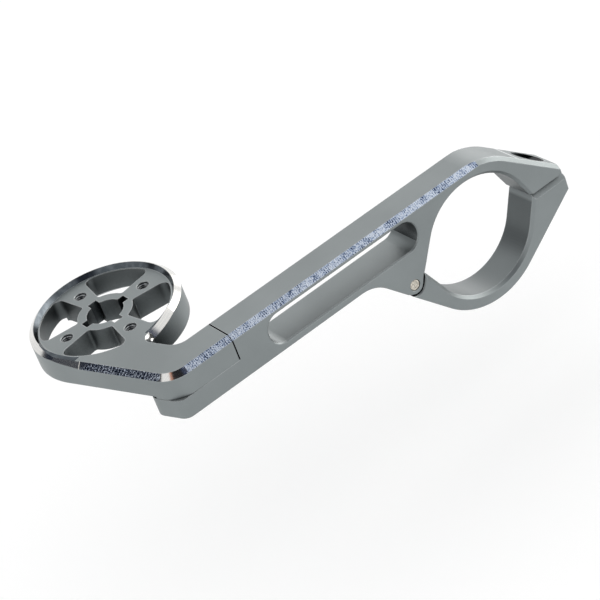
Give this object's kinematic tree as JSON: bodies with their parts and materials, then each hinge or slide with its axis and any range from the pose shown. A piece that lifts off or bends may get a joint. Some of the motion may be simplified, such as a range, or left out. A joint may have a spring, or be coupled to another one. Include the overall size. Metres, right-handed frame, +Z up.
{
  "type": "bike computer mount",
  "caption": "Out-front handlebar mount: hinged round clamp, slotted straight arm and an offset ringed carrier plate with spokes and a keyed centre hole.",
  "frame": {"origin": "centre of the handlebar bore, on the mid-plane of the clamp's width", "axes": "+X forward along the arm towards the carrier plate, +Y along the bar towards the side opposite the carrier plate, +Z up, square to the plate"},
  "size_m": [0.1327, 0.059, 0.0401],
  "materials": {
    "anodised_aluminium": "bead-blasted and grey anodised, with bright milled bevels",
    "bright_steel": "ground stainless steel",
    "black_steel": "black oxide"
  },
  "bodies": {
    "arm_body": {"arm": "anodised_aluminium", "head": "anodised_aluminium", "hinge_pin": "bright_steel", "head_screws": "black_steel"},
    "strap_body": {"strap": "anodised_aluminium"},
    "bolt_body": {"clamp_bolt": "black_steel"}
  },
  "joints": [
    {"name": "strap_hinge", "type": "hinge", "parent": "arm_body", "child": "strap_body", "pos_m": [0.02242, 0, -0.00027], "axis": [0, -1, 0], "range_deg": [0, 40]},
    {"name": "bolt_lift", "type": "slide", "parent": "arm_body", "child": "bolt_body", "axis": [0, 0, 1], "range_m": [0, 0.0081]}
  ],
  "couplings": [
    {"joint": "bolt_lift", "follows": "strap_hinge", "m_per_rad": 0.01146}
  ]
}
